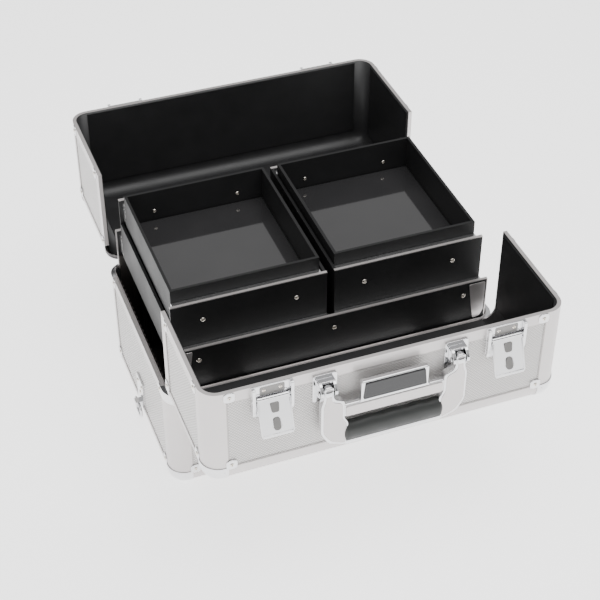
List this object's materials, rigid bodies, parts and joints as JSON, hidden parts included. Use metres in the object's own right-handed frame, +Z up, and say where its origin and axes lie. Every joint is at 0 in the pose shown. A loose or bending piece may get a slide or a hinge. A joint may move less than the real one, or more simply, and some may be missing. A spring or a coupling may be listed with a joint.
{
  "type": "makeup train case",
  "caption": "Aluminium-framed makeup train case with two half lids that open outwards, sliding drawer trays on rails and a divided lower compartment.",
  "frame": {"origin": "middle of the flat bottom face, on the surface the case stands on", "axes": "+Z up, front is -Y, +X to the right; stored with both lids open a quarter turn and all trays pushed in"},
  "size_m": [0.382, 0.5185, 0.2508],
  "materials": {
    "stippled_panel": "silver laminate, fine stippled dots",
    "bottom_panel": "matte",
    "frame_aluminium": "satin anodised",
    "chrome": "polished",
    "rivet_steel": "nickel plated",
    "slide_steel": "zinc plated",
    "black_board": "fine leather grain",
    "black_lining": "smooth matte",
    "black_foam": "ribbed foam",
    "grip_rubber": "matte",
    "gloss_black": "glossy"
  },
  "bodies": {
    "base": {"base_wall_panels": "stippled_panel", "base_bottom_panel": "bottom_panel", "base_corner_posts": "frame_aluminium", "base_bottom_rails": "frame_aluminium", "base_rim": "frame_aluminium", "base_corner_fittings": "chrome", "tray_carriers": "black_board", "carrier_trims": "frame_aluminium", "carrier_rails": "slide_steel", "wall_liners": "black_foam", "end_liners": "black_foam", "floor_pad": "black_foam", "dividers": "black_foam", "hinge_base_leaves": "chrome", "hinge_pins": "chrome", "base_rivets": "rivet_steel", "strap_mounts": "chrome"},
    "front_lid": {"front_lid_corner_caps": "chrome", "front_lid_end_edges": "frame_aluminium", "front_lid_hinge_leaves": "chrome", "front_lid_lining": "black_lining", "front_lid_long_edge": "frame_aluminium", "front_lid_panels": "stippled_panel", "front_lid_posts": "frame_aluminium", "front_lid_rim": "frame_aluminium", "front_lid_rivets": "rivet_steel", "handle_brackets": "chrome", "latch_bases": "chrome"},
    "rear_lid": {"rear_lid_corner_caps": "chrome", "rear_lid_end_edges": "frame_aluminium", "rear_lid_hinge_leaves": "chrome", "rear_lid_lining": "black_lining", "rear_lid_long_edge": "frame_aluminium", "rear_lid_panels": "stippled_panel", "rear_lid_posts": "frame_aluminium", "rear_lid_rim": "frame_aluminium", "rear_lid_rivets": "rivet_steel", "latch_keepers": "chrome"},
    "handle": {"handle_frame": "chrome", "handle_bridge": "frame_aluminium", "handle_inlay": "gloss_black", "handle_grip": "grip_rubber"},
    "left_latch": {"left_latch_flap": "chrome"},
    "left_lock": {"left_key_cylinder": "chrome"},
    "left_ring": {"left_strap_ring": "chrome"},
    "left_lower_tray": {"left_lower_tray": "black_board", "left_lower_slides": "slide_steel", "left_lower_trim": "frame_aluminium", "left_lower_rivets": "rivet_steel"},
    "left_upper_tray": {"left_upper_tray": "black_board", "left_upper_slides": "slide_steel"},
    "right_latch": {"right_latch_flap": "chrome"},
    "right_lock": {"right_key_cylinder": "chrome"},
    "right_ring": {"right_strap_ring": "chrome"},
    "right_lower_tray": {"right_lower_tray": "black_board", "right_lower_slides": "slide_steel", "right_lower_trim": "frame_aluminium", "right_lower_rivets": "rivet_steel"},
    "right_upper_tray": {"right_upper_tray": "black_board", "right_upper_slides": "slide_steel"}
  },
  "joints": [
    {"name": "front_lid_hinge", "type": "hinge", "parent": "base", "child": "front_lid", "pos_m": [0, -0.119, 0.132], "axis": [1, 0, 0], "range_deg": [-90, 0]},
    {"name": "rear_lid_hinge", "type": "hinge", "parent": "base", "child": "rear_lid", "pos_m": [0, 0.119, 0.132], "axis": [-1, 0, 0], "range_deg": [-90, 0]},
    {"name": "handle_hinge", "type": "hinge", "parent": "front_lid", "child": "handle", "pos_m": [0, -0.258, 0.231], "axis": [-1, 0, 0], "range_deg": [0, 100]},
    {"name": "left_latch_flap_hinge", "type": "hinge", "parent": "front_lid", "child": "left_latch", "pos_m": [-0.117, -0.253, 0.237], "axis": [1, 0, 0], "range_deg": [-160, 0]},
    {"name": "left_key_turn", "type": "hinge", "parent": "left_latch", "child": "left_lock", "pos_m": [-0.117, -0.26258, 0.21069], "axis": [0, 0.9397, -0.342], "range_deg": [0, 90]},
    {"name": "left_lower_tray_slide", "type": "slide", "parent": "base", "child": "left_lower_tray", "axis": [-1, 0, 0], "range_m": [0, 0.168]},
    {"name": "left_upper_tray_slide", "type": "slide", "parent": "left_lower_tray", "child": "left_upper_tray", "axis": [-1, 0, 0], "range_m": [0, 0.156]},
    {"name": "left_strap_ring_swing", "type": "hinge", "parent": "base", "child": "left_ring", "pos_m": [-0.1875, 0, 0.027], "axis": [0, 1, 0], "range_deg": [0, 170]},
    {"name": "right_latch_flap_hinge", "type": "hinge", "parent": "front_lid", "child": "right_latch", "pos_m": [0.117, -0.253, 0.237], "axis": [1, 0, 0], "range_deg": [-160, 0]},
    {"name": "right_key_turn", "type": "hinge", "parent": "right_latch", "child": "right_lock", "pos_m": [0.117, -0.26258, 0.21069], "axis": [0, 0.9397, -0.342], "range_deg": [0, 90]},
    {"name": "right_lower_tray_slide", "type": "slide", "parent": "base", "child": "right_lower_tray", "axis": [1, 0, 0], "range_m": [0, 0.168]},
    {"name": "right_upper_tray_slide", "type": "slide", "parent": "right_lower_tray", "child": "right_upper_tray", "axis": [1, 0, 0], "range_m": [0, 0.156]},
    {"name": "right_strap_ring_swing", "type": "hinge", "parent": "base", "child": "right_ring", "pos_m": [0.1875, 0, 0.027], "axis": [0, -1, 0], "range_deg": [0, 170]}
  ]
}
